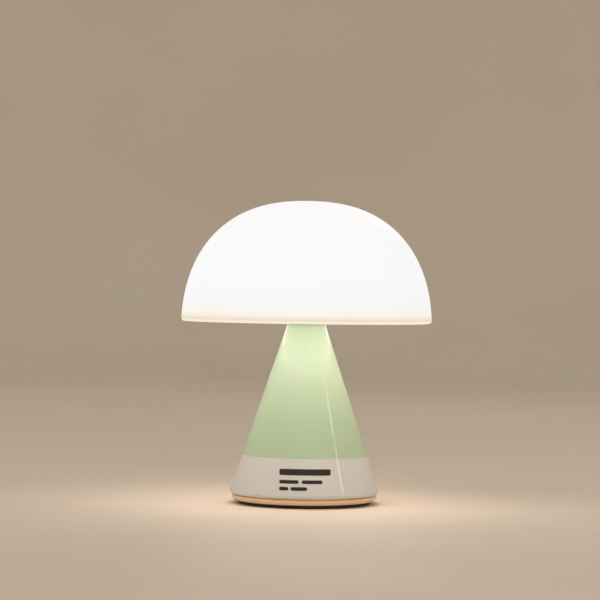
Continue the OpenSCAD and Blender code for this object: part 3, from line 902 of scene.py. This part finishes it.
def make_led_wires():
    """Four wires twisted together between the switch board and the lighting board, where the real ones flex
    as the shade is pressed; these pieces are rigid and ride on no body.
    """
    low, high = (corner.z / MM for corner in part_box("led_wires"))
    turns, wire_r, loom_r, straight, steps = 1.25, 0.6, 1.7, 1.0, 72
    rise = high - low - 2 * straight
    kinds = ("wire_red", "wire_black", "wire_white", "wire_white")
    for number, kind in enumerate(kinds):
        start = FULL_TURN * (number + 0.5) / len(kinds)
        path = [on_circle(loom_r, start, low)]
        for i in range(steps + 1):
            angle = start + FULL_TURN * turns * i / steps
            path.append(on_circle(loom_r, angle, low + straight + rise * i / steps))
        path.append(on_circle(loom_r, start + FULL_TURN * turns, high))
        bm = bmesh.new()
        sweep(bm, path, wire_r)
        piece = make_piece(f"led_wire_{number + 1}", bm, material[kind], None)
        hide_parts("led_wires")
        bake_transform(piece)


def make_spring():
    """A compression spring with closed ends."""
    low, high = (corner.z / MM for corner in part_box("return_spring"))
    wire_r, coil_r, steps = 0.35, 5.5, 60
    free_turns, closed_turns = 3.0, 0.75  # the closed turns are those laid flat at each end
    closed_pitch = 2.05 * wire_r
    free_height = high - low - 2 * wire_r - 2 * closed_turns * closed_pitch
    path = []
    for i in range(round((free_turns + 2 * closed_turns) * steps) + 1):
        turn = i / steps
        closed = min(turn, closed_turns) + max(turn - closed_turns - free_turns, 0)
        free = min(max((turn - closed_turns) / free_turns, 0), 1)
        rise = closed * closed_pitch + free * free_height
        path.append(on_circle(coil_r, FULL_TURN * turn, low + wire_r + rise))
    bm = bmesh.new()
    sweep(bm, path, wire_r)
    piece = make_piece("press_spring", bm, material["spring_steel"], None)
    stand_in(piece, "return_spring")
    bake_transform(piece)


# Routes of the battery's leads and of the switch's harness
CELL_LOW_Z = 7.9
CELL_HIGH_Z = 73.1
LEAD_R = 0.65
LEAD_LIFT = LEAD_R + 0.05
RED_ROUTE = [
    (-0.5, 10, CELL_HIGH_Z + 0.2 + LEAD_LIFT), (-0.5, 12, 74.2), (-0.5, 14, 73), (-1, 14, 60), (-2, 15, 30),
    (-6, 17, 22), (-12, 17.5, 20), (-18.2, 15.6, 19), (-18.2, 15.6, 13.5),
]
BLACK_ROUTE = [
    (0.5, -10, CELL_LOW_Z + LEAD_LIFT), (0.5, -12.5, 9.4), (0, -14.5, 11), (-3, -17, 13.6), (-14, -18, 15),
    (-21, -8, 15), (-22, 6, 17), (-19.8, 17.4, 20), (-19.8, 17.4, 13.5),
]
HARNESS_ROUTE = [  # x and z
    (13.2, 77.95), (13.2, 70), (13.2, 34), (14, 24), (20, 20), (23, 19), (23, 16.4),
]


def make_lead(name, route, kind, node):
    bm = bmesh.new()
    sweep(bm, rounded_route(route), LEAD_R)
    return stand_in(make_piece(name, bm, material[kind], "lamp_base"), node)


def make_harness():
    """A flat ribbon of wires side by side."""
    wires, wire_r, pitch = 6, 0.5, 1.05
    bm = bmesh.new()
    for i in range(wires):
        y = (i - (wires - 1) / 2) * pitch
        sweep(bm, rounded_route([(x, y, z) for x, z in HARNESS_ROUTE]), wire_r)
    piece = make_piece("switch_harness", bm, material["wire_white"], "lamp_base")
    return stand_in(piece, "main_harness")


# ---- Battery and screws ----


def make_cell():
    """A cell in its shrink sleeve, with the crimp groove below its positive cap."""
    low, high = (corner.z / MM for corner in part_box("battery_cell"))
    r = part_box("battery_cell")[1].x / MM
    sleeve_top, foot_round, shoulder_round = high - 1.25, 0.6, 0.7
    groove_low, groove_height, groove_depth, steps = high - 6.4, 2.4, 0.45, 8
    cap_r, cap_round = 3, 0.4
    groove = [
        (r - groove_depth * math.sin(math.pi * i / steps) ** 2, groove_low + groove_height * i / steps)
        for i in range(steps + 1)
    ]
    outline = (
        [(0, low), (r - 1.6, low)]
        + arc(r - foot_round, low + foot_round, foot_round, -90, 0, 6)
        + groove
        + arc(r - shoulder_round, sleeve_top - shoulder_round, shoulder_round, 0, 90, 6)
        + [(cap_r + 0.9, sleeve_top), (cap_r + 0.4, sleeve_top + 0.05)]
        + arc(cap_r - cap_round, high - cap_round, cap_round, 0, 90, 5)
        + [(0, high)]
    )
    bm = turned(outline, 128)
    for face in bm.faces:
        centre = face.calc_center_median()
        if centre.z > sleeve_top - 0.01 and math.hypot(centre.x, centre.y) < r - 2.2:
            face.material_index = 1
    kinds = [material["cell_sleeve"], material["stamped_steel"]]
    return stand_in(make_piece("lithium_cell", bm, kinds, "lamp_base"), "battery_cell")


SCREWS = [  # node, body, circle's radius, angles, seat's height, then radius and length of shank and of head
    ("led_screws", "shade", 9, (30, 150, 270), 108.2, 1.1, 4, 2, 1.3),
    ("switch_board_screws", "lamp_base", 11.5, (60, 240), 79.2, 0.8, 5, 1.7, 1.1),
    ("tower_screws", "lamp_base", 14.5, (0, 120, 240), 8.8, 1.2, 5, 2.1, 1.4),
    ("board_screws", "lamp_base", 25, (90, 210, 330), 11.4, 1.1, 5, 2, 1.3),
    ("base_screws", "lamp_base", 33.6, (30, 150, 270), 4.2, 1.3, 6.5, 2.5, 1.5),
]


def screw_mesh(shank_r, shank_l, head_r, head_h):
    """A self-tapping screw, its head's underside at z = 0, with a thread and a cross recess."""
    pitch, root, neck, chamfer = 0.55 * shank_r, 0.8 * shank_r, 0.9 * shank_r, 0.15
    outline = [(0, -shank_l), (root * 0.6, -shank_l)]
    z = -shank_l + 0.8 * pitch
    while z < -1.2 * pitch:
        crest = [(shank_r, z + 0.35 * pitch), (shank_r, z + 0.45 * pitch)]
        outline += [(root, z), *crest, (root, z + 0.8 * pitch)]
        z += pitch
    outline += [(neck, -0.6 * pitch), (neck, 0), (head_r - chamfer, 0), (head_r, chamfer)]
    side_h, steps = 0.35 * head_h, 8
    for i in range(steps):
        a = math.pi / 2 * i / steps
        outline.append((head_r * math.cos(a), side_h + (head_h - side_h) * math.sin(a)))
    outline.append((0, head_h))
    bar = (head_r * 1.15, head_r * 0.24, head_h)
    cross = [box_mesh(bar, (0, 0, head_h), turn) for turn in (0, 90)]
    return carved(turned(outline, 40), cross)


def make_screws(node, body, circle, angles, seat, shank_r, shank_l, head_r, head_h):
    """A circle of screws, driven down into their seats, or up where they hold the base cover."""
    bm = bmesh.new()
    for angle in angles:
        one = screw_mesh(shank_r, shank_l, head_r, head_h)
        if node == "base_screws":
            one.transform(Matrix.Diagonal((1, -1, -1, 1)))
        a = math.radians(angle)
        one.transform(Matrix.Translation(on_circle(circle, a, seat)) @ Matrix.Rotation(a, 4, "Z"))
        join(bm, one)
    piece = make_piece(node.replace("screws", "screw_set"), bm, material["steel_screw"], body)
    return stand_in(piece, node)


make_dome()
make_shade_floor()
make_cone()
make_print()
make_foot_pad()
make_bezel()
make_usb_socket()
make_usb_contacts()
make_led_chips()
make_colour_chips()
make_led_wires()
make_spring()
make_lead("red_lead", RED_ROUTE, "wire_red", "battery_lead_red")
make_lead("black_lead", BLACK_ROUTE, "wire_black", "battery_lead_black")
make_harness()
make_cell()
for row in SCREWS:
    make_screws(*row)

for name, node in frame["nodes"].items():
    if not node.hide_render:
        finish_node(name)

# ---- Stage, light and camera ----


def make_stage():
    """A pale round floor that turns up into a wall far behind the lamp."""
    flat, bend, wall, drop, segments = 1800, 900, 1500, 0.02, 96
    bend_points = [(x, z - drop) for x, z in arc(flat, bend, bend, -90, 0, 24)]
    outline = [(300, -drop), (900, -drop), *bend_points, (flat + bend, bend + wall)]
    bm = bmesh.new()
    angles = [FULL_TURN * i / segments for i in range(segments)]
    loops = [[(r * math.cos(a), r * math.sin(a), z) for a in angles] for r, z in outline]
    bm.faces.new(loft(bm, loops)[0])
    s = Shader("pale_floor")
    s.base(s.clouded(s.noise(3), "#e6d6bf", "#eadcc8"))
    s.rough(s.spread(s.noise(8), 0.55, 0.65))
    piece = make_piece("studio_floor", bm, s.material, None)
    for face in piece.data.polygons:
        if face.normal.z < -0.1:
            face.flip()


def aim(thing, place, target):
    thing.location = place
    thing.rotation_euler = (Vector(target) - Vector(place)).to_track_quat("-Z", "Y").to_euler()


def add_light(name, place, target, width, height, radiance, tint, mirrored=False):
    """A rectangular lamp whose face has a given radiance. Only a mirrored one shows in glossy surfaces."""
    data = bpy.data.lights.new(name, "AREA")
    data.shape = "RECTANGLE"
    data.size, data.size_y = width, height
    data.energy = radiance * math.pi * width * height
    data.color = colour(tint)[:3]
    light = bpy.data.objects.new(name, data)
    light.visible_glossy = mirrored
    bpy.context.scene.collection.objects.link(light)
    aim(light, place, target)


def make_light():
    world = bpy.data.worlds.new("studio")
    bpy.context.scene.world = world
    world.use_nodes = True
    background = world.node_tree.nodes["Background"]
    background.inputs["Color"].default_value = colour("#dfe3ea")
    background.inputs["Strength"].default_value = 0.68
    centre = (0, 0, 0.08)
    add_light("key", (-1.1, -1.0, 1.5), centre, 1.0, 1.0, 2.4, "#fff6ea")
    add_light("fill", (1.5, -0.9, 0.9), centre, 0.9, 0.9, 1.2, "#fff0cf")
    # The strip shows as a thin line down the right of the cone, and the rear light as a gloss on its back
    mirrored = [  # name, the spot it shines at, its azimuth, width, height and radiance
        ("strip", (0.017, -0.029, 0.03), 66.3, 0.05, 0.17, 17),
        ("rear", (0, 0, 0.03), 163, 0.3, 0.2, 2),
    ]
    away, slope = 1.3, math.tan(math.radians(27.5))
    for name, spot, azimuth, width, height, radiance in mirrored:
        a = math.radians(azimuth)
        place = Vector(spot) + away * Vector((math.sin(a), -math.cos(a), slope)).normalized()
        add_light(name, place, spot, width, height, radiance, "#fff4e6", mirrored=True)


def make_camera():
    """A long lens almost level with the shade's lower half, and rolled a little."""
    away, height, sideways = 1.35, 0.1215, -0.00375
    pitch, roll = math.radians(-0.42), math.radians(0.8)
    data = bpy.data.cameras.new("camera")
    data.sensor_width = 36
    data.lens = 147.3
    camera = bpy.data.objects.new("camera", data)
    bpy.context.scene.collection.objects.link(camera)
    camera.location = (sideways, -away, height)
    turn = Matrix.Rotation(math.pi / 2 + pitch, 3, "X") @ Matrix.Rotation(roll, 3, "Z")
    camera.rotation_euler = turn.to_euler()
    data.clip_start, data.clip_end = 0.05, 20
    bpy.context.scene.camera = camera


make_stage()
make_light()
make_camera()
bpy.context.scene.view_settings.view_transform = "Standard"
